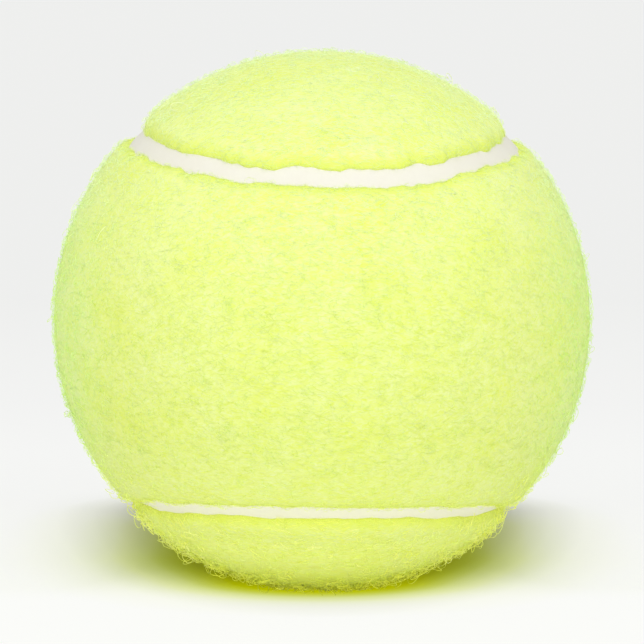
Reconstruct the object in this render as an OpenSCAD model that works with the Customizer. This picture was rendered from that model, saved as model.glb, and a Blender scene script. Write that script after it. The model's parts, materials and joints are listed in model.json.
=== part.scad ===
// Pressurised tennis ball: a hollow rubber core in two halves, cement layers,
// two dumbbell-shaped felt panels and the cement seam between them.
// Millimetres. The origin is the ball's centre and +Z is up. The front panel has
// its waist at -Y and its round lobes at +X and -X. The back panel has its waist
// at +Y and its lobes at +Z and -Z.

/* [Rubber core] */
// Outer diameter of the hollow rubber core
core_d = 60; // [57:0.1:63]
// Thickness of the rubber wall
core_wall = 3.3; // [2.5:0.1:4.5]
// Thickness of the cement between the two half shells
joint_t = 0.2; // [0.1:0.05:0.5]
// Radius of the cement bead squeezed out inside the joint
bead_r = 0.7; // [0.4:0.05:1.2]

/* [Cement layers] */
// Thickness of the rubber solution brushed over the whole core
coat_t = 0.22; // [0.1:0.01:0.5]
// Thickness of the cured cement on the back of each felt panel
backing_t = 0.22; // [0.1:0.01:0.5]

/* [Felt cover] */
// Thickness of the felt with its raised nap
felt_t = 3; // [2:0.1:4]
// Radius of the rounded felt edge beside the seam
felt_edge_r = 1; // [0.5:0.1:1.5]
// Width of a panel across its waist, over the ball, between the seam's middles
waist_w = 45.4; // [41:0.1:50]

/* [Seam] */
// Width of the seam strip
seam_w = 3.4; // [2.4:0.1:4.4]
// Depth of the seam strip's face below the felt
seam_drop = 1.1; // [0.6:0.1:1.6]

/* [Hidden] */
$fn = 144;

// Clearance under each panel's backing and under its felt
layer_gap = 0.03;

// Radii of the layers, from the inside out
core_r = core_d / 2;
cavity_r = core_r - core_wall;
coat_r = core_r + coat_t;
backing_inner_r = coat_r + layer_gap;
backing_r = backing_inner_r + backing_t;
felt_inner_r = backing_r + layer_gap;
ball_r = felt_inner_r + felt_t;
seam_r = ball_r - seam_drop;

// How far a cutting solid runs past what it cuts
overrun = 1;
reach = ball_r + overrun;

// The seam's middle line is four arcs of circles drawn on the ball. Each meets
// the next without a corner, at the ends of the diagonals of the XZ plane. The
// axis of each leans by arc_lean from Z or X towards the waist that it borders.
waist_angle = waist_w / 2 / ball_r * 180 / PI;
arc_lean = atan((sqrt(1 / 2) - sin(waist_angle)) / cos(waist_angle));
arc_angle = 90 - waist_angle - arc_lean;

// Each lobe laps the waist beside it by this much, so that their edges cross
// where they would only touch. The gap's two walls keep the seam's width.
lobe_lap = 0.3;
waist_wall = (seam_w + lobe_lap) / 2;
lobe_wall = (seam_w - lobe_lap) / 2;

// The balls that cut the panels cross the cover squarely at this radius
mid_cover_r = (coat_r + ball_r) / 2;

// The rounded felt edge is no larger than the wall that it rounds. Its circle
// stands a little proud of the wall and of the outer face, which it so crosses
// at a shallow angle.
edge_r = min(felt_edge_r, seam_drop);
edge_sunk_share = 0.9;
edge_sunk = edge_r * edge_sunk_share;

felt_colour = [0.85, 0.96, 0.35];
seam_colour = [0.94, 0.92, 0.85];
rubber_colour = [0.23, 0.23, 0.24];
cement_colour = [0.80, 0.72, 0.52];

// A hollow ball between two radii
module shell(inner_r, outer_r) {
    difference() {
        sphere(outer_r);
        sphere(inner_r);
    }
}

// The half space on the -Y side of a plane that lies at the given depth
module front_half(behind) {
    translate([-reach, -reach - behind, -reach])
        cube([2 * reach, reach, 2 * reach]);
}

// What is drawn for the front serves the back after this half turn about the
// diagonal of the XZ plane, which lays one panel's outline on the other's
module turned_to_back() {
    rotate(a = 180, v = [1, 0, 1]) children();
}

// What borders the front waist above it is turned to border it below as well
module above_and_below() {
    children();
    rotate([0, 180, 0]) children();
}

// A ball that crosses the cover squarely along a circle round the axis of the
// arc above the front waist. The circle stands outside the arc by the given
// width, or inside it where the width is negative.
module cap_ball(outside) {
    angle = arc_angle + outside / seam_r * 180 / PI;
    rotate([arc_lean, 0, 0])
        translate([0, 0, mid_cover_r / cos(angle)])
            sphere(mid_cover_r * tan(angle));
}

// The ring that is cut away to round the felt's edge beside such a ball. Its
// section is drawn along the radius to the arc, with the arc's outside at -Y.
module edge_ring(outside) {
    side = outside > 0 ? -1 : 1;
    across = abs(outside) + edge_sunk;
    out = sqrt(pow(ball_r - edge_sunk, 2) - pow(across, 2));
    rotate([arc_lean, 0, 0])
        rotate_extrude()
            rotate(90 - arc_angle)
                difference() {
                    translate([out, side < 0 ? -across : 0])
                        square([reach - out, across]);
                    translate([out, side * across]) circle(edge_r);
                }
}

// All that belongs to the front panel: its waist, and then its two lobes
module front_zone(rounded) {
    difference() {
        front_half(0);
        above_and_below() cap_ball(waist_wall);
        if (rounded) above_and_below() edge_ring(waist_wall);
    }
    turned_to_back() above_and_below()
        difference() {
            cap_ball(-lobe_wall);
            if (rounded) edge_ring(-lobe_wall);
        }
}

// Half section of the cement in the core's joint, with its bead in the cavity
module joint_section() {
    intersection() {
        difference() {
            circle(core_r);
            circle(cavity_r);
        }
        translate([0, -joint_t / 2]) square([reach, joint_t]);
    }
    intersection() {
        circle(cavity_r);
        translate([cavity_r, 0]) circle(bead_r);
    }
}

module core_half_front() {
    color(rubber_colour) intersection() {
        shell(cavity_r, core_r);
        front_half(joint_t / 2);
    }
}

module core_half_back() {
    color(rubber_colour) intersection() {
        shell(cavity_r, core_r);
        turned_to_back() front_half(joint_t / 2);
    }
}

module core_joint() {
    color(cement_colour) rotate([90, 0, 0]) rotate_extrude() joint_section();
}

module core_coat() {
    color(cement_colour) shell(core_r, coat_r);
}

module backing_front() {
    color(cement_colour) intersection() {
        shell(backing_inner_r, backing_r);
        front_zone(false);
    }
}

module backing_back() {
    color(cement_colour) intersection() {
        shell(backing_inner_r, backing_r);
        turned_to_back() front_zone(false);
    }
}

module felt_front() {
    color(felt_colour) intersection() {
        shell(felt_inner_r, ball_r);
        front_zone(true);
    }
}

module felt_back() {
    color(felt_colour) intersection() {
        shell(felt_inner_r, ball_r);
        turned_to_back() front_zone(true);
    }
}

// The cement strip fills the foot of the groove between the panels
module seam_strip() {
    color(seam_colour) difference() {
        shell(coat_r, seam_r);
        front_zone(false);
        turned_to_back() front_zone(false);
    }
}

core_half_front();
core_half_back();
core_joint();
core_coat();
backing_front();
backing_back();
felt_front();
felt_back();
seam_strip();
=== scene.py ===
# Tennis ball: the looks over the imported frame.
# Metres. The origin is the ball's centre and +Z is up. The front panel's waist
# faces -Y, the back panel's faces +Y.

import json
import math
import random

import bmesh
import bpy
import numpy as np
from mathutils import Matrix, Vector, noise

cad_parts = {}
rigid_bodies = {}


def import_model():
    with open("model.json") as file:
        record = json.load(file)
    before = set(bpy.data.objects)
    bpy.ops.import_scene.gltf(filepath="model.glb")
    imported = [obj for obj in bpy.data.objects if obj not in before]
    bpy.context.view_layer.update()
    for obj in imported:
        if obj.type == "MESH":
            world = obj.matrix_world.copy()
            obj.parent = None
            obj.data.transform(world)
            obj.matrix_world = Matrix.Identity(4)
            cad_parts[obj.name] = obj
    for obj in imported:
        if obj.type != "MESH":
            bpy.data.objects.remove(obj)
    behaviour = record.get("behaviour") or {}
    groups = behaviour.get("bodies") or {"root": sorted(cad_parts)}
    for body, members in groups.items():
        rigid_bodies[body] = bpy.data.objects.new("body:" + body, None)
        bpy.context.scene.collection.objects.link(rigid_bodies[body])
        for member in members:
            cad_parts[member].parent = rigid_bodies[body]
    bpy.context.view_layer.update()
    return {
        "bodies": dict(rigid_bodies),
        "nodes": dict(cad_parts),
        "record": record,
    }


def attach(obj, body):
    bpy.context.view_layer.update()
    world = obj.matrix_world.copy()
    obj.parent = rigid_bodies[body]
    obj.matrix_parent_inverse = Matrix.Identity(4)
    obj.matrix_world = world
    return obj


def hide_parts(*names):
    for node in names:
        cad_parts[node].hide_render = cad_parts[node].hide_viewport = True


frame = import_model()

nodes = frame["nodes"]
ballBody = next(iter(frame["bodies"]))
millimetre = 0.001


def radiiOf(node):
    # least and greatest distance of a node's mesh from the ball's centre
    lengths = [vert.co.length for vert in nodes[node].data.vertices]
    return min(lengths), max(lengths)


feltInner, ballRadius = radiiOf("felt_front")
stripRadius = radiiOf("seam_strip")[1]


# The seam

seam = {
    "waistWidth": 45.4 * millimetre,  # panel across its waist, over the ball
    "wall": 1.75 * millimetre,        # felt's wall from the seam's middle line
}

waistAngle = seam["waistWidth"] / 2 / ballRadius
arcLean = math.atan((math.sqrt(0.5) - math.sin(waistAngle)) / math.cos(waistAngle))
arcAngle = math.pi / 2 - waistAngle - arcLean
leanSin, leanCos = math.sin(arcLean), math.cos(arcLean)


def arcAxis(point):
    # axis of the seam arc that a point belongs to
    if point.y < 0:
        return Vector((0, -leanSin, math.copysign(leanCos, point.z)))
    return Vector((math.copysign(leanCos, point.x), leanSin, 0))


def seamDistance(point):
    # distance over the ball from the seam's middle line, positive on the front panel
    side = -1 if point.y < 0 else 1
    return side * (arcAngle - point.angle(arcAxis(point))) * ballRadius


def besideSeam(point, distance, radius):
    # the point is slid square to the seam to this distance, and set at this radius
    axis = arcAxis(point)
    side = -1 if point.y < 0 else 1
    angle = arcAngle - side * distance / ballRadius
    across = (point - axis * point.dot(axis)).normalized()
    return (axis * math.cos(angle) + across * math.sin(angle)) * radius


def smoothStep(low, high, value):
    share = min(max((value - low) / (high - low), 0), 1)
    return share * share * (3 - 2 * share)


# Shader maths

class Wire:
    # a shader socket that takes Python's operators
    def __init__(self, finish, socket):
        self.finish, self.socket = finish, socket

    def maths(self, operation, *terms):
        return self.finish.node("ShaderNodeMath", {"operation": operation}, *terms)

    def __add__(self, other):
        return self.maths("ADD", self, other)

    def __sub__(self, other):
        return self.maths("SUBTRACT", self, other)

    def __rsub__(self, other):
        return self.maths("SUBTRACT", other, self)

    def __mul__(self, other):
        return self.maths("MULTIPLY", self, other)

    def __pow__(self, other):
        return self.maths("POWER", self, other)

    def greater(self, other):
        return self.maths("MAXIMUM", self, other)

    def lesser(self, other):
        return self.maths("MINIMUM", self, other)

    def sibling(self, name):
        # another output of the same node
        return Wire(self.finish, self.socket.node.outputs[name])

    __radd__ = __add__
    __rmul__ = __mul__


class Finish:
    # the nodes of a material or a world, built in Python
    def __init__(self, owner):
        self.owner = owner
        owner.use_nodes = True
        self.tree = owner.node_tree
        self.tree.nodes.clear()

    def node(self, kind, settings={}, *values, out=0, **sockets):
        made = self.tree.nodes.new(kind)
        for key, value in settings.items():
            if key == "stops":
                self.setStops(made.color_ramp, value)
            else:
                setattr(made, key, value)
        named = {key.replace("_", " "): value for key, value in sockets.items()}
        for key, value in [*enumerate(values), *named.items()]:
            if isinstance(value, Wire):
                self.tree.links.new(value.socket, made.inputs[key])
            elif value is not None:
                made.inputs[key].default_value = value
        return Wire(self, made.outputs[out]) if made.outputs else None

    def setStops(self, ramp, stops):
        while len(ramp.elements) < len(stops):
            ramp.elements.new(1)
        for element, (place, colour) in zip(ramp.elements, stops):
            element.position = place
            element.color = colour if len(colour) == 4 else (*colour, 1)

    def places(self):
        return self.node("ShaderNodeTexCoord", out="Object")

    def attribute(self, name):
        return self.node("ShaderNodeAttribute", {"attribute_name": name}, out="Fac")

    def noise(self, places, size, detail=2.0, roughness=0.5, distortion=0.0):
        # size is the width of one lump, in metres
        return self.node("ShaderNodeTexNoise", {}, Vector=places, Scale=1 / size,
                         Detail=detail, Roughness=roughness, Distortion=distortion)

    def ramp(self, factor, *stops):
        return self.node("ShaderNodeValToRGB", {"stops": stops}, factor)

    def mix(self, factor, first, second, blend="MIX"):
        made = self.tree.nodes.new("ShaderNodeMix")
        made.data_type = "RGBA"
        made.blend_type = blend
        for key, value in (("Factor", factor), ("A", first), ("B", second)):
            kind = "VALUE" if key == "Factor" else "RGBA"
            socket = next(s for s in made.inputs if s.name == key and s.type == kind)
            if isinstance(value, Wire):
                self.tree.links.new(value.socket, socket)
            else:
                socket.default_value = value if key == "Factor" else (*value, 1)
        return Wire(self, next(s for s in made.outputs if s.type == "RGBA"))

    def rise(self, value, start, full, most=1.0):
        # 0 at start, most at full, smooth between them
        return self.node("ShaderNodeMapRange", {"interpolation_type": "SMOOTHSTEP"}, Value=value,
                         From_Min=start, From_Max=full, To_Min=0.0, To_Max=most)

    def bump(self, height, strength, distance):
        return self.node("ShaderNodeBump", {}, Height=height, Strength=strength,
                         Distance=distance)

    def surface(self, **sockets):
        shader = self.node("ShaderNodeBsdfPrincipled", {}, **sockets)
        self.node("ShaderNodeOutputMaterial", {}, Surface=shader)
        return self.owner

    def seen(self):
        # 1 where the camera, a reflection or a view through glass meets this
        rays = [self.node("ShaderNodeLightPath", out="Is %s Ray" % kind)
                for kind in ("Camera", "Glossy", "Transmission")]
        return rays[0].greater(rays[1]).greater(rays[2])


def newFinish(name):
    return Finish(bpy.data.materials.new(name))


# Materials

# A look's tints by place say where each starts and is full, in radii of the ball
# from its middle, its share at most, how it is laid on, and its colour. The limb
# sheen counts to the left and right, the others up and down. All of them are
# painted light: a painted greener sheen at the left and right limbs, a painted
# highlight on the top, painted floor light on the lower half and painted
# contact shade at the foot.

feltLook = {
    "deep": (0.75, 0.848, 0.136),    # in the hollows between the fibres
    "pale": (0.807, 0.887, 0.40),    # on the worn tips
    "rim": (0.78, 0.88, 0.12),       # painted shade, deeper along the cut edge where the lip turns into the groove
    "edgeShadeShare": 0.8,
    "tints": {
        # painted limb sheen: greener towards the left and right limbs
        "limbSheen": (0.70, 0.95, 1.0, "MULTIPLY", (1.00, 1.04, 1.07)),
        # painted highlight: paler on the top, where the light falls
        "topHighlight": (0.15, 0.55, 1.0, "MULTIPLY", (1.03, 1.03, 1.04)),
        # painted floor light: lighter on the lower half
        "low": (-0.68, -0.80, 1.0, "MULTIPLY", (1.145, 1.125, 1.00)),
        # painted contact shade at the foot, saturated and low in blue, kept bright as painted
        # floor light
        "foot": (-0.81, -0.97, 0.8, "MIX", (0.93, 1.00, 0.09)),
    },
    "streak": 0.35 * millimetre,     # width of a lock of fibres
    "stretch": 0.35,                 # of the locks' length, the more the smaller
    "patch": 7.0 * millimetre,       # width of a paler or deeper patch
    "contrast": (2.2, 0.8),          # how far the locks differ, and the patches
    "bump": (0.3, 0.06 * millimetre),  # of the locks: strength, height
    "sheen": 0.15,
    "sheenTint": (0.75, 1.0, 0.85, 1),
}


def tinted(finish, places, colour, tints, *names):
    # the colour with the named tints laid on in turn
    height = finish.node("ShaderNodeSeparateXYZ", {}, places, out="Z")
    aside = height.sibling("X")
    for name in names:
        start, full, most, blend, tint = tints[name]
        # the painted limb sheen goes by distance to the left or right, the others by height
        along = aside.greater(aside * -1) if name == "limbSheen" else height
        share = finish.rise(along, start * ballRadius, full * ballRadius, most)
        colour = finish.mix(share, colour, tint, blend)
    return colour


def feltFinish(name):
    finish = newFinish(name)
    places = finish.places()
    drawn = finish.node("ShaderNodeMapping", {}, Vector=places,
                        Scale=(feltLook["stretch"], 1, 1))
    streak = finish.noise(drawn, feltLook["streak"], detail=3, roughness=0.6,
                          distortion=1.2)
    patch = finish.noise(places, feltLook["patch"])
    streaks, patches = feltLook["contrast"]
    tone = (streak - 0.5) * streaks + (patch - 0.5) * patches + 0.5
    colour = finish.mix(tone, feltLook["deep"], feltLook["pale"])
    colour = tinted(finish, places, colour, feltLook["tints"],
                    "limbSheen", "topHighlight", "low", "foot")
    # painted shade along the cut edge
    rim = finish.attribute("rim") * feltLook["edgeShadeShare"]
    colour = finish.mix(rim, colour, feltLook["rim"])
    bump = finish.bump(streak, *feltLook["bump"])
    return finish.surface(Base_Color=colour, Roughness=1.0, Specular_IOR_Level=0.05,
                          Sheen_Weight=feltLook["sheen"], Sheen_Roughness=0.5,
                          Sheen_Tint=feltLook["sheenTint"], Normal=bump)


napLook = {
    "deep": (0.737, 0.838, 0.142),
    "pale": (0.79, 0.873, 0.39),
    # painted shade along the cut edge, as on the cloth
    "rim": (0.80, 0.90, 0.18),
    "edgeShadeShare": 0.5,
    "tints": {
        # painted limb sheen: greener towards the left and right limbs
        "limbSheen": (0.70, 0.95, 1.0, "MULTIPLY", (0.96, 1.045, 1.15)),
        # painted highlight: paler on the top, where the light falls
        "topHighlight": (0.00, 0.80, 0.8, "MIX", (0.88, 0.94, 0.63)),
        # painted floor light: lighter on the lower half
        "low": (-0.35, -0.65, 1.0, "MULTIPLY", (1.23, 1.143, 1.00)),
        # painted contact shade at the foot, saturated and low in blue, kept bright as painted
        # floor light
        "foot": (-0.81, -0.97, 0.75, "MIX", (0.97, 1.00, 0.05)),
    },
    "patch": 0.7 * millimetre,       # width of the fibres that share a tone
    "stretch": 0.5,                  # of a patch's length, the more the smaller
    "patches": 2.6,                  # how far the patches differ
    "fibres": 0.3,                   # how far the fibres within one differ
    "lying": (1, 1, 1),              # tint of the fibres that lie along the cloth
    "standingLimbSheen": (0.955, 1.03, 1.02),  # and the greener one of those that stand up, a painted sheen that shows most at the limbs
    "sheen": 0.3,
    "sheenTint": (0.60, 1.0, 0.80, 1),
}


def napFinish(name, ownTint):
    finish = newFinish(name)
    places = finish.places()
    colour = finish.mix(finish.attribute("tone"), napLook["deep"], napLook["pale"])
    colour = tinted(finish, places, colour, napLook["tints"], "limbSheen", "topHighlight")
    # painted shade along the cut edge
    rim = finish.attribute("rim") * napLook["edgeShadeShare"]
    colour = finish.mix(rim, colour, napLook["rim"])
    colour = tinted(finish, places, colour, napLook["tints"], "low", "foot")
    colour = finish.mix(1.0, colour, ownTint, "MULTIPLY")
    return finish.surface(Base_Color=colour, Roughness=1.0, Specular_IOR_Level=0.05,
                          Sheen_Weight=napLook["sheen"], Sheen_Roughness=0.5,
                          Sheen_Tint=napLook["sheenTint"])


seamLook = {
    "pale": (0.82, 0.805, 0.728),
    "dull": (0.80, 0.77, 0.675),
    # painted floor light: the lower strip lighter, where it faces down into the groove
    "tints": {"low": (-0.30, -0.60, 1.0, "MIX", (0.89, 0.87, 0.73))},
    "streak": 4.0 * millimetre,      # width of a duller streak
    "grain": 0.6 * millimetre,       # width of a bump
    "bump": (0.35, 0.08 * millimetre),  # strength, height
    "roughness": (0.55, 0.2),        # least, and how much it varies
}


def seamFinish():
    finish = newFinish("seam_cement")
    places = finish.places()
    streak = finish.noise(places, seamLook["streak"], detail=3, roughness=0.6,
                          distortion=0.5)
    colour = finish.mix(streak, seamLook["pale"], seamLook["dull"])
    colour = tinted(finish, places, colour, seamLook["tints"], "low")
    grain = finish.noise(places, seamLook["grain"], detail=3, roughness=0.6)
    least, varied = seamLook["roughness"]
    return finish.surface(Base_Color=colour, Roughness=streak * varied + least,
                          Specular_IOR_Level=0.3,
                          Normal=finish.bump(grain, *seamLook["bump"]))


innerLooks = {  # name: darker colour, lighter colour, grain's width in mm, roughness
    "core_rubber": ((0.035, 0.035, 0.038), (0.07, 0.07, 0.072), 0.9, 0.75),
    "joint_cement": ((0.50, 0.41, 0.24), (0.62, 0.52, 0.33), 0.7, 0.5),
    "coat_cement": ((0.48, 0.41, 0.27), (0.60, 0.53, 0.37), 1.6, 0.45),
    "backing_cement": ((0.60, 0.54, 0.38), (0.72, 0.66, 0.50), 1.2, 0.6),
}
innerDetail = {
    "cloud": 8 * millimetre,         # width of a paler, rougher cloud
    "rougher": 0.2,                  # how much its roughness varies
    "bump": (0.3, 0.1 * millimetre),  # of the grain: strength, height
}


def innerFinish(name):
    dark, light, grain, roughness = innerLooks[name]
    finish = newFinish(name)
    places = finish.places()
    cloud = finish.noise(places, innerDetail["cloud"], detail=3, roughness=0.6)
    grains = finish.noise(places, grain * millimetre, detail=4, roughness=0.65)
    colour = finish.mix(cloud * 0.5 + grains * 0.5, dark, light)
    bump = finish.bump(grains, *innerDetail["bump"])
    rougher = innerDetail["rougher"]
    return finish.surface(Base_Color=colour, Normal=bump,
                          Roughness=cloud * rougher + (roughness - rougher / 2))


# Felt panels

panel = {
    "fineness": 7,                    # subdivisions of the ball that a panel is cut from
    "cutBand": 2 * millimetre,        # faces this near the lip's start are cut along it
    "weld": 0.08 * millimetre,        # points closer than this are merged
    "lipWidth": 2.4 * millimetre,     # the cloth slopes down to the seam over this
    "lipCurve": 2.2,
    "lipRings": 7,
    "lipSink": 0.06 * millimetre,     # lip's foot below the strip's face
    "napDepth": 0.16 * millimetre,    # cloth's surface below the ball's outer size
    "wave": (0.40 * millimetre, 9.5),  # the cut edge wanders by this much, waves in a radius
    "fineWave": (0.12 * millimetre, 27),
    "calm": 0.55,                     # share of the waves lost at the lower seam's front
    "lump": (0.05 * millimetre, 11),  # unevenness of the surface, lumps in a radius
    "lumpDetail": (0.7, 2.3, 4),      # of its fractal: fall, spacing, octaves
    "lap": 0.3 * millimetre,          # the cut edge lies over the strip by this much
    "frontLaps": {                    # and more at the front: middle and ends, in mm
        ("front", "upper"): (0.0, 0.6),
        ("back", "upper"): (0.35, 0.0),
        ("front", "lower"): (0.15, 0.45),
        ("back", "lower"): (0.85, 0.6),
    },
    "frontFull": 0.4,                 # radii forward of the middle: these laps are full
    "endsAt": (0.25, 0.6),            # radii from the middle: the ends' lap starts, is full
    "cornerLap": 1.05 * millimetre,   # at the two lower corners, where the edges all but meet
    "corners": ((0.61, 0.70), (0.35, 0.1), (-0.5, -0.65)),  # start, full: aside, y, z
    "leastLaps": (-0.05 * millimetre, 0.24 * millimetre),  # least lean beside a waist, a lobe
    "rounding": 0.1 * millimetre,     # of the wander where it meets the least lean
    "crossing": 0.05,                 # half the stretch, in radii, between a waist and a lobe
    "fineBand": 4.4 * millimetre,     # from the seam, meshed twice as finely
    "bare": 1.7 * millimetre,         # from the seam, the nap starts
    "covered": 2.1 * millimetre,      # and is full
    "fringed": 2.4 * millimetre,      # from the seam, the edge's fringe ends
    "edgeShadeWidth": 2.0 * millimetre,     # painted shade: deeper colour along the cut edge
    "curlsLow": (-0.58, -0.74),       # height in radii: the curls start, are full
    "curlsBehind": (-0.5, -0.25),     # y in radii, the same
    "curlsFront": 0.2,                # their share before that
    "curlStrays": 0.03,               # and their share above
}


def edgeWave(point, side):
    # how far the cut edge at this point of the seam leans over the strip
    along = besideSeam(point, 0, 1)
    shift = Vector((side * 7.3, 2.1, -4.4))
    wave = 0
    for size, rate in (panel["wave"], panel["fineWave"]):
        wave += noise.noise(along * rate + shift) * size * 2
    front = smoothStep(0, panel["frontFull"], -along.y)
    if along.z < 0:
        wave *= 1 - panel["calm"] * front
    middle, ends = panel["frontLaps"]["front" if side > 0 else "back",
                                      "upper" if along.z > 0 else "lower"]
    lap = middle + (ends - middle) * smoothStep(*panel["endsAt"], abs(along.x))
    corner = 1
    for band, value in zip(panel["corners"], (abs(along.x), along.y, along.z)):
        corner *= smoothStep(*band, value)
    lean = wave * (1 - corner) + panel["lap"] + lap * millimetre * front
    lean += panel["cornerLap"] * corner
    waistLeast, lobeLeast = panel["leastLaps"]
    onLobe = smoothStep(-panel["crossing"], panel["crossing"], side * along.y)
    least = waistLeast + (lobeLeast - waistLeast) * onLobe
    return least + ((lean - least) + math.hypot(lean - least, panel["rounding"])) / 2


def panelMesh(side):
    # side 1 makes the front panel and side -1 the back one
    surface = ballRadius - panel["napDepth"]
    lipStart = seam["wall"] + panel["lipWidth"]
    bm = bmesh.new()
    bmesh.ops.create_icosphere(bm, subdivisions=panel["fineness"], radius=surface)
    everything = bm.verts[:] + bm.edges[:] + bm.faces[:]
    bmesh.ops.bisect_plane(bm, geom=everything, dist=1e-7, plane_co=(0, 0, 0),
                           plane_no=(0, 1, 0))
    for guide in ((0, -1, 1), (0, -1, -1), (1, 1, 0), (-1, 1, 0)):
        # a clean cut through the faces near each arc, where the lip starts
        axis = arcAxis(Vector(guide))
        inwards = side * math.copysign(lipStart, guide[1]) / ballRadius
        cut = surface * math.cos(arcAngle - inwards)
        near = [face for face in bm.faces
                if face.calc_center_median().y * guide[1] > 0
                and abs(face.calc_center_median().dot(axis) - cut) < panel["cutBand"]]
        edges = {edge for face in near for edge in face.edges}
        verts = {vert for face in near for vert in face.verts}
        bmesh.ops.bisect_plane(bm, geom=[*verts, *edges, *near], dist=1e-7,
                               plane_co=axis * cut, plane_no=axis)
    outside = [face for face in bm.faces
               if side * seamDistance(face.calc_center_median()) < lipStart]
    bmesh.ops.delete(bm, geom=outside, context="FACES")
    fine = [edge for edge in bm.edges
            if all(abs(seamDistance(vert.co)) < panel["fineBand"] for vert in edge.verts)]
    bmesh.ops.subdivide_edges(bm, edges=fine, cuts=1, use_grid_fill=True)
    bmesh.ops.triangulate(bm, faces=bm.faces[:])
    bmesh.ops.remove_doubles(bm, verts=bm.verts[:], dist=panel["weld"])
    home = bm.verts.layers.float_vector.new("home")
    for vert in bm.verts:
        vert.co = vert.co.normalized() * surface
        vert[home] = vert.co

    rim = [edge for edge in bm.edges if edge.is_boundary]
    inner = bmesh.ops.duplicate(bm, geom=bm.faces[:])["geom"]
    innerFaces = [item for item in inner if isinstance(item, bmesh.types.BMFace)]
    bmesh.ops.reverse_faces(bm, faces=innerFaces)
    for vert in {vert for face in innerFaces for vert in face.verts}:
        onRim = any(edge.is_boundary for edge in vert.link_edges)
        if onRim:
            vert.co = besideSeam(vert[home], side * seam["wall"], feltInner)
        else:
            vert.co = vert.co.normalized() * feltInner

    lipFoot = stripRadius - panel["lipSink"]
    drop = surface - lipFoot
    profile = []
    for ring in range(1, panel["lipRings"] + 1):
        share = ring / panel["lipRings"]
        profile.append((lipStart - panel["lipWidth"] * share,
                        surface - drop * share ** panel["lipCurve"]))
    profile.append((seam["wall"], (stripRadius + feltInner) / 2))
    profile.append((seam["wall"], feltInner))
    for distance, radius in profile:
        grown = bmesh.ops.extrude_edge_only(bm, edges=rim)["geom"]
        for vert in grown:
            if isinstance(vert, bmesh.types.BMVert):
                vert.co = besideSeam(vert[home], side * distance, radius)
        rim = [item for item in grown if isinstance(item, bmesh.types.BMEdge)]
    bmesh.ops.remove_doubles(bm, verts=[v for v in bm.verts if v.is_boundary], dist=1e-6)
    bm.verts.layers.float_vector.remove(home)
    bmesh.ops.recalc_face_normals(bm, faces=bm.faces[:])
    shapeSurface(bm, side, lipFoot)
    return bm


def shapeSurface(bm, side, lipFoot):
    # lumps all over, and the wandering edge beside the seam
    napCover = bm.verts.layers.float.new("napCover")
    curlCover = bm.verts.layers.float.new("curlCover")
    fringeCover = bm.verts.layers.float.new("fringeCover")
    rim = bm.verts.layers.float.new("rim")
    lumpSize, lumpRate = panel["lump"]
    edgeBand = 2 * panel["fineBand"]
    for vert in bm.verts:
        radius = vert.co.length
        if radius < lipFoot - 1e-6:
            continue
        point = vert.co.normalized()
        distance = abs(seamDistance(vert.co))
        lump = noise.fractal(point * lumpRate, *panel["lumpDetail"]) * lumpSize
        vert[napCover] = smoothStep(panel["bare"], panel["covered"], distance)
        # the curls lie low on the ball, with fewer at the front and a few strays above
        fewer = panel["curlsFront"]
        behind = smoothStep(*panel["curlsBehind"], point.y)
        low = smoothStep(*panel["curlsLow"], point.z) * (fewer + (1 - fewer) * behind)
        vert[curlCover] = vert[napCover] * (low + panel["curlStrays"])
        vert[fringeCover] = 1 - smoothStep(seam["wall"], panel["fringed"], distance)
        # painted shade: share of the deeper colour along the cut edge
        vert[rim] = 1 - smoothStep(seam["wall"], seam["wall"] + panel["edgeShadeWidth"], distance)
        if distance < edgeBand:
            reach = 1 - smoothStep(seam["wall"] + panel["lipWidth"] / 2, edgeBand, distance)
            moved = distance - edgeWave(point, side) * reach
            point = besideSeam(vert.co, side * moved, 1)
            lump *= smoothStep(lipFoot, ballRadius - panel["napDepth"], radius)
        vert.co = point * (radius + lump)


def settleOrder(bm):
    # the fibres are scattered by the order of the faces, and the extruded ones, which
    # are the quads, come in another order each run, so their places are dealt out anew
    bm.verts.index_update()
    bm.faces.index_update()
    quads = [face for face in bm.faces if len(face.verts) == 4]
    places = [face.index for face in quads]
    quads.sort(key=lambda face: sorted(vert.index for vert in face.verts))
    dealt = dict(zip(quads, places))
    bm.faces.sort(key=lambda face: dealt.get(face, face.index))


def makeObject(name, bm, material):
    settleOrder(bm)
    mesh = bpy.data.meshes.new(name)
    bm.to_mesh(mesh)
    bm.free()
    mesh.materials.append(material)
    made = bpy.data.objects.new(name, mesh)
    bpy.context.scene.collection.objects.link(made)
    return made


def makePanels():
    panels = {}
    for name, side in (("front", 1), ("back", -1)):
        made = makeObject("felt_cover_" + name, panelMesh(side), feltFinish("felt_" + name))
        made.data.shade_smooth()
        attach(made, ballBody)
        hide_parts("felt_" + name)
        panels[name] = made
    return panels


# Nap

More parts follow.
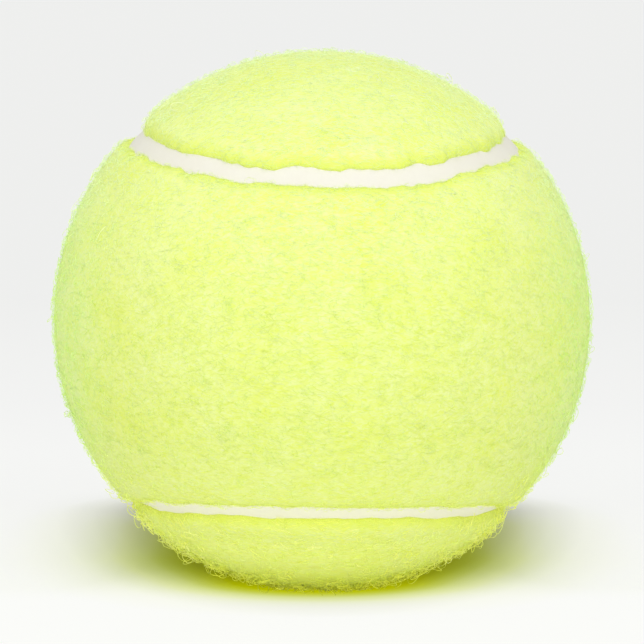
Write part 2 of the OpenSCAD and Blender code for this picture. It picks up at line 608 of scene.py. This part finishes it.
naps = {
    "nap": {                              # fibres that lie along the cloth
        "cover": "napCover",
        "thickness": 0.030 * millimetre,  # half the width of a fibre
        "flatness": 0.6,                  # its height over its width
        "length": 1.7 * millimetre,
        "lift": 0.06 * millimetre,
        "curl": 0.35,                     # radians that a fibre turns at each step
        "steps": 3,
        "shapes": 8,
        "pieces": 3,                      # for each panel
        "density": 2.9e6,                 # fibres on a square metre, all pieces together
        "tilt": 0.06,
        "stray": 0.7,                     # how far fibres stray from the cloth's grain
        "seed": 11,
    },
    "fuzz": {                             # loose ends that stand up
        "cover": "napCover",
        "thickness": 0.024 * millimetre,
        "flatness": 1,
        "length": 1.3 * millimetre,
        "lift": 0.42 * millimetre,
        "curl": 0.9,
        "steps": 3,
        "shapes": 10,
        "pieces": 2,
        "density": 1.5e6,
        "tilt": 0.35,
        "stray": 3.2,
        "seed": 41,
    },
    "fringe": {                           # loose ends along the cut edges
        "cover": "fringeCover",
        "thickness": 0.024 * millimetre,
        "flatness": 0.6,
        "length": 1.4 * millimetre,
        "lift": 0.12 * millimetre,
        "curl": 0.6,
        "steps": 3,
        "shapes": 8,
        "pieces": 1,
        "density": 1.2e7,
        "tilt": 0.12,
        "stray": 3.2,
        "seed": 59,
    },
    "curls": {                            # long curly fibres, most on the lower half
        "cover": "curlCover",
        "thickness": 0.036 * millimetre,
        "flatness": 1,
        "length": 4.2 * millimetre,
        "lift": 0.85 * millimetre,
        "curl": 0.95,
        "steps": 14,
        "shapes": 14,
        "pieces": 1,
        "density": 9e5,
        "tilt": 0.6,
        "stray": 3.2,
        "seed": 71,
    },
}

fibreForm = {                             # what all the kinds share
    "end": 0.4,                           # width at the ends, over the width between
    "sizes": (0.7, 1.25),                 # least and greatest, over its kind's
    "lifts": (0.5, 1.2),
    "bends": (0.4, 1),                    # the same at each step, over its kind's curl
    "wander": 0.7,                        # and each step's own turn
    "mapMargin": 0.1,                     # round its cell of the map, over the cell
}
bakeMap = "OFBake"


def fibreMesh(kind, luck):
    # a closed three-sided strand that starts in the cloth, rises and comes down,
    # with one edge up and its broad side down, so that no gap shades the cloth
    bm = bmesh.new()
    steps, thickness, narrow = kind["steps"], kind["thickness"], fibreForm["end"]
    swell = 1 / narrow
    upright = Matrix.Rotation(-math.pi / 2, 4, "Y")
    bmesh.ops.create_circle(bm, cap_ends=True, segments=3, radius=thickness * narrow,
                            matrix=Matrix.Diagonal((1, 1, kind["flatness"], 1)) @ upright)
    top = bm.faces[:]
    mapped = {vert: (0, 0.5 + vert.co.z / thickness) for vert in bm.verts}
    heading = 0
    bend = luck.choice((-1, 1)) * luck.uniform(*fibreForm["bends"]) * kind["curl"]
    lift = kind["lift"] * luck.uniform(*fibreForm["lifts"])
    place = Vector((0, 0, 0))
    for step in range(1, steps + 1):
        share = step / steps
        heading += bend + luck.uniform(-kind["curl"], kind["curl"]) * fibreForm["wander"]
        stride = kind["length"] / steps
        target = place + Vector((math.cos(heading), math.sin(heading), 0)) * stride
        target.z = lift * math.sin(math.pi * share) - 2 * thickness * share
        grown = bmesh.ops.extrude_face_region(bm, geom=top)["geom"]
        if step > 1:
            bmesh.ops.delete(bm, geom=top, context="FACES_ONLY")
        top = [item for item in grown if isinstance(item, bmesh.types.BMFace)]
        verts = [item for item in grown if isinstance(item, bmesh.types.BMVert)]
        bmesh.ops.translate(bm, verts=verts, vec=target - place)
        width = swell if step == 1 else narrow if step == steps else 1
        bmesh.ops.scale(bm, verts=verts, vec=(width, width, width),
                        space=Matrix.Translation(-target))
        mapped.update({vert: (share, 0.5 + (vert.co.z - target.z) / thickness / swell)
                       for vert in verts})
        place = target
    bmesh.ops.translate(bm, verts=bm.verts[:], vec=(-place.x / 2, -place.y / 2, 0))
    straight = Matrix.Rotation(-math.atan2(place.y, place.x), 3, "Z")
    bmesh.ops.rotate(bm, verts=bm.verts[:], cent=(0, 0, 0), matrix=straight)
    bmesh.ops.recalc_face_normals(bm, faces=bm.faces[:])
    layer = bm.loops.layers.uv.new(bakeMap)
    for face in bm.faces:
        for loop in face.loops:
            loop[layer].uv = mapped[loop.vert]
    return bm


def fibreShapes(kind, material):
    luck = random.Random(kind["seed"])
    shapes = bpy.data.collections.new("fibre_shapes")
    for number in range(kind["shapes"]):
        made = makeObject("fibre_shape_" + str(number), fibreMesh(kind, luck), material)
        bpy.context.scene.collection.objects.unlink(made)
        shapes.objects.link(made)
    return shapes


def scatterNodes(kind, side, shapes, seed):
    # fibres on the faces, lying along the cloth, each spun at random
    tree = bpy.data.node_groups.new("scatter", "GeometryNodeTree")
    tree.interface.new_socket("Geometry", in_out="INPUT", socket_type="NodeSocketGeometry")
    tree.interface.new_socket("Geometry", in_out="OUTPUT", socket_type="NodeSocketGeometry")

    def node(nodeType, settings={}, **sockets):
        made = tree.nodes.new(nodeType)
        for key, value in settings.items():
            setattr(made, key, value)
        for key, value in sockets.items():
            socket = made.inputs[key.replace("_", " ")]
            if isinstance(value, bpy.types.NodeSocket):
                tree.links.new(value, socket)
            else:
                socket.default_value = value
        return made

    start = node("NodeGroupInput")
    end = node("NodeGroupOutput")
    cover = node("GeometryNodeInputNamedAttribute", {"data_type": "FLOAT"}, Name=kind["cover"])
    density = node("ShaderNodeMath", {"operation": "MULTIPLY"})
    tree.links.new(cover.outputs["Attribute"], density.inputs[0])
    density.inputs[1].default_value = kind["density"] / kind["pieces"]
    spread = node("GeometryNodeDistributePointsOnFaces", {"distribute_method": "RANDOM"},
                  Mesh=start.outputs["Geometry"], Density=density.outputs[0], Seed=seed)
    grain = (1, 0, 0)  # the back panel's runs along X, and the front panel's level
    if side > 0:
        level = node("ShaderNodeVectorMath", {"operation": "CROSS_PRODUCT"})
        level.inputs[0].default_value = (0, 0, 1)
        tree.links.new(spread.outputs["Normal"], level.inputs[1])
        grain = level.outputs["Vector"]
    combed = node("FunctionNodeAlignRotationToVector", {"axis": "X", "pivot_axis": "Z"},
                  Rotation=spread.outputs["Rotation"], Vector=grain)
    tilt, stray = kind["tilt"], kind["stray"]
    spin = node("FunctionNodeRandomValue", {"data_type": "FLOAT_VECTOR"}, Seed=seed + 1)
    spin.inputs["Min"].default_value = (-tilt, -tilt, -stray)
    spin.inputs["Max"].default_value = (tilt, tilt, stray)
    spun = node("FunctionNodeEulerToRotation", Euler=spin.outputs["Value"])
    turned = node("FunctionNodeRotateRotation", {"rotation_space": "LOCAL"},
                  Rotation=combed.outputs["Rotation"], Rotate_By=spun.outputs["Rotation"])
    size = node("FunctionNodeRandomValue", {"data_type": "FLOAT"}, Seed=seed + 2)
    floats = [socket for socket in size.inputs if socket.type == "VALUE" and socket.enabled]
    floats[0].default_value, floats[1].default_value = fibreForm["sizes"]
    sizeOut = next(socket for socket in size.outputs if socket.type == "VALUE" and socket.enabled)
    library = node("GeometryNodeCollectionInfo", {}, Collection=shapes,
                   Separate_Children=True, Reset_Children=True)
    placed = node("GeometryNodeInstanceOnPoints", {}, Points=spread.outputs["Points"],
                  Instance=library.outputs["Instances"], Pick_Instance=True,
                  Rotation=turned.outputs["Rotation"], Scale=sizeOut)
    own = node("FunctionNodeRandomValue", {"data_type": "FLOAT"}, Seed=seed + 3)
    ownOut = next(socket for socket in own.outputs if socket.type == "VALUE" and socket.enabled)
    drawn = node("ShaderNodeVectorMath", {"operation": "MULTIPLY"})
    tree.links.new(node("GeometryNodeInputPosition").outputs[0], drawn.inputs[0])
    drawn.inputs[1].default_value = (napLook["stretch"], 1, 1)
    patch = node("ShaderNodeTexNoise", {}, Vector=drawn.outputs["Vector"],
                 Scale=1 / napLook["patch"], Detail=2)
    tone = 0.5 - (napLook["patches"] + napLook["fibres"]) / 2
    for share, socket in ((napLook["patches"], patch.outputs[0]), (napLook["fibres"], ownOut)):
        added = node("ShaderNodeMath", {"operation": "MULTIPLY_ADD"})
        tree.links.new(socket, added.inputs[0])
        added.inputs[1].default_value = share
        if isinstance(tone, float):
            added.inputs[2].default_value = tone
        else:
            tree.links.new(tone, added.inputs[2])
        tone = added.outputs[0]
    toned = node("GeometryNodeStoreNamedAttribute", {"data_type": "FLOAT", "domain": "INSTANCE"},
                 Geometry=placed.outputs["Instances"], Name="tone", Value=tone)
    real = node("GeometryNodeRealizeInstances", {}, Geometry=toned.outputs["Geometry"])
    tree.links.new(real.outputs["Geometry"], end.inputs["Geometry"])
    return tree


def spreadMap(mesh, loopsEach):
    # each fibre gets its own cell of the map that its colours are baked through
    layer = mesh.uv_layers[bakeMap]
    places = np.zeros(len(mesh.loops) * 2, np.float32)
    layer.uv.foreach_get("vector", places)
    places = places.reshape(-1, 2)
    fibre = np.arange(len(mesh.loops)) // loopsEach
    across = math.ceil(math.sqrt(fibre[-1] + 1))
    cell = np.stack([fibre % across, fibre // across], 1)
    margin = fibreForm["mapMargin"]
    inCell = margin + (1 - 2 * margin) * places
    layer.uv.foreach_set("vector", ((cell + inCell) / across).ravel())


def makeNap(kind, name, side, surface, material):
    shapes = fibreShapes(kind, material)
    loopsEach = len(shapes.objects[0].data.loops)
    made = []
    for number in range(kind["pieces"]):
        tree = scatterNodes(kind, side, shapes, kind["seed"] + 10 * number)
        growth = surface.modifiers.new("growth", "NODES")
        growth.node_group = tree
        evaluated = surface.evaluated_get(bpy.context.evaluated_depsgraph_get())
        mesh = bpy.data.meshes.new_from_object(evaluated)
        surface.modifiers.remove(growth)
        bpy.data.node_groups.remove(tree)
        spreadMap(mesh, loopsEach)
        piece = bpy.data.objects.new(name + "_" + str(number + 1), mesh)
        bpy.context.scene.collection.objects.link(piece)
        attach(piece, ballBody)
        made.append(piece)
        print("  ", piece.name, len(mesh.loops) // loopsEach, "fibres")
    for shape in shapes.objects[:]:
        bpy.data.objects.remove(shape)
    bpy.data.collections.remove(shapes)
    return made


print("scene: felt panels")
panels = makePanels()

print("scene: nap")
lyingFinish = napFinish("nap", napLook["lying"])
# the standing fuzz carries the painted greener limb sheen
fuzzSheenFinish = napFinish("fuzz", napLook["standingLimbSheen"])
napPieces = {"front": [], "back": []}
for (name, made), side in zip(panels.items(), (1, -1)):
    for kindName, kind in naps.items():
        material = fuzzSheenFinish if kindName == "fuzz" else lyingFinish
        napPieces[name] += makeNap(kind, kindName + "_" + name, side, made, material)

print("scene: carried-over nodes")
finishes = {name: innerFinish(name) for name in innerLooks}
finishes["seam_cement"] = seamFinish()
slots = {part["node"]: part["material_slot"] for part in frame["record"]["subparts"]}
for name, piece in nodes.items():
    if not piece.hide_render:
        piece.data.materials.clear()
        piece.data.materials.append(finishes[slots[name]])


# Stage, lamps and camera

studio = {
    "floorRadius": 3.0,
    "footShift": 0.0004,              # middle of the painted bounce and shade, to the right of the ball's
    "skew": 0.07,                     # and their turn, to lie level in the rolled view
    "plain": (0.968, 0.973, 0.95),    # the floor as it lights the ball
    "paintedBounce": {                        # painted bounce light of the ball's colour on the floor, and painted contact shade nearest the foot: distance, colour
        "length": 0.038,              # it runs behind the ball as far as this
        "squash": (1.55, 1.2),        # before the foot, and past that length
        "wider": (-0.010, 0.018, 0.008),  # and is wider there: from y, full at y, by how much
        "tones": (
            (0.000, (0.77, 0.82, 0.00)),
            (0.009, (0.74, 0.80, 0.00)),
            (0.011, (0.76, 0.84, 0.05)),
            (0.013, (0.79, 0.875, 0.17)),
            (0.0145, (0.85, 0.925, 0.33)),
            (0.016, (0.88, 0.945, 0.44)),
            (0.018, (0.92, 0.965, 0.57)),
            (0.0195, (0.935, 0.97, 0.70)),
            (0.022, (0.95, 0.972, 0.81)),
            (0.025, (0.96, 0.97, 0.88)),
            (0.034, (0.968, 0.973, 0.95)),
        ),
    },
    "shade": {                        # deeper shade behind the ball
        "middle": 0.050,
        "squash": (0.5, 1.6),         # before and behind its middle
        "tones": (
            (0.0000, (0.44, 0.44, 0.44)),
            (0.0225, (0.46, 0.46, 0.46)),
            (0.0260, (0.62, 0.62, 0.62)),
            (0.0285, (0.775, 0.775, 0.775)),
            (0.0315, (0.905, 0.905, 0.905)),
            (0.0360, (1.0, 1.0, 1.0)),
        ),
    },
    "far": (                          # painted shade, the floor darker towards the back: y, share
        (0.000, (1.0, 1.0, 1.0)),
        (0.025, (0.985, 0.985, 0.985)),
        (0.060, (0.955, 0.955, 0.965)),
        (0.100, (0.955, 0.955, 0.965)),
        (0.150, (0.932, 0.930, 0.943)),
        (0.280, (0.895, 0.895, 0.905)),
    ),
    "frontGlow": (0.016, -0.012, 0.96),  # pale floor before the ball: from y, full at y, share
    "openGlow": (0.0265, 0.0435, 0.75),  # and round the shade: from distance, full at, share
    "worldLight": 0.60,
    "backdrop": (0.93, 0.935, 0.92, 1),
    "lamps": {                        # elevation, strength over pi, softness, all from the front
        "key_softbox": (60, 0.395, 75),
        "front_softbox": (6, 0.205, 14),
    },
}


def toned(finish, value, tones):
    # a colour for each value, from pairs of a value and its colour
    widest = tones[-1][0]
    return finish.ramp(value * (1 / widest), *[(place / widest, tone) for place, tone in tones])


def makeFloor():
    bm = bmesh.new()
    bmesh.ops.create_circle(bm, cap_ends=True, segments=96, radius=studio["floorRadius"],
                            matrix=Matrix.Translation((0, 0, -ballRadius)))
    finish = newFinish("floor")
    paintedBounce, shade = studio["paintedBounce"], studio["shade"]
    x = finish.node("ShaderNodeSeparateXYZ", {}, finish.places(), out="X")
    across = x - studio["footShift"]
    depth = x.sibling("Y") - x * studio["skew"]
    before, after = paintedBounce["squash"]
    beyond = depth.lesser(0) * before + (depth - paintedBounce["length"]).greater(0) * after
    fromFoot = (across * across + beyond * beyond) ** 0.5 - finish.rise(depth, *paintedBounce["wider"])
    behind = depth - shade["middle"]
    before, after = shade["squash"]
    behind = behind.lesser(0) * before + behind.greater(0) * after
    fromShade = (across * across + behind * behind) ** 0.5
    # painted bounce light and contact shade round the foot, painted shadow behind the ball and
    # painted shade towards the back, all in the floor's colour
    colour = toned(finish, fromFoot, paintedBounce["tones"])
    colour = finish.mix(1.0, colour, toned(finish, fromShade, shade["tones"]), "MULTIPLY")
    colour = finish.mix(1.0, colour, toned(finish, depth, studio["far"]), "MULTIPLY")
    glow = finish.rise(depth, *studio["frontGlow"]).greater(
        finish.rise(fromShade, *studio["openGlow"]))
    lighting = finish.mix(finish.seen(), studio["plain"], colour)
    lit = finish.node("ShaderNodeBsdfPrincipled", {}, Base_Color=lighting, Roughness=0.9,
                      Specular_IOR_Level=0.1)
    plain = finish.node("ShaderNodeEmission", {}, colour)
    both = finish.node("ShaderNodeMixShader", {}, glow * finish.seen(), lit, plain)
    finish.node("ShaderNodeOutputMaterial", {}, Surface=both)
    makeObject("floor", bm, finish.owner)


def makeLight():
    world = bpy.data.worlds.new("studio")
    finish = Finish(world)
    soft = finish.node("ShaderNodeBackground", {}, (1, 1, 1, 1), studio["worldLight"])
    backdrop = finish.node("ShaderNodeBackground", {}, studio["backdrop"], 1.0)
    both = finish.node("ShaderNodeMixShader", {}, finish.seen(), soft, backdrop)
    finish.node("ShaderNodeOutputWorld", {}, both)
    bpy.context.scene.world = world
    for name, (elevation, strength, softness) in studio["lamps"].items():
        lamp = bpy.data.lights.new(name, "SUN")
        lamp.energy = strength * math.pi
        lamp.angle = math.radians(softness)
        holder = bpy.data.objects.new(name, lamp)
        raised = math.radians(elevation)
        holder.rotation_euler = (math.pi / 2 - raised, 0, 0)
        bpy.context.scene.collection.objects.link(holder)


photo = {
    "elevation": 7.6,
    "distance": 0.536,
    "lens": 240,
    "roll": 0.76,
    "aimHeight": -0.375 * millimetre,
}


def makeCamera():
    camera = bpy.data.cameras.new("camera")
    camera.lens = photo["lens"]
    camera.sensor_width = 36
    camera.clip_start = 0.01
    holder = bpy.data.objects.new("camera", camera)
    raised = math.radians(photo["elevation"])
    back = Vector((0, -math.cos(raised), math.sin(raised)))
    holder.location = Vector((0, 0, photo["aimHeight"])) + back * photo["distance"]
    turned = (-back).to_track_quat("-Z", "Y").to_matrix()
    rolled = turned @ Matrix.Rotation(math.radians(photo["roll"]), 3, "Z")
    holder.rotation_euler = rolled.to_euler()
    bpy.context.scene.collection.objects.link(holder)
    bpy.context.scene.camera = holder


print("scene: stage, light and camera")
makeFloor()
makeLight()
makeCamera()
bpy.context.scene.view_settings.view_transform = "Standard"
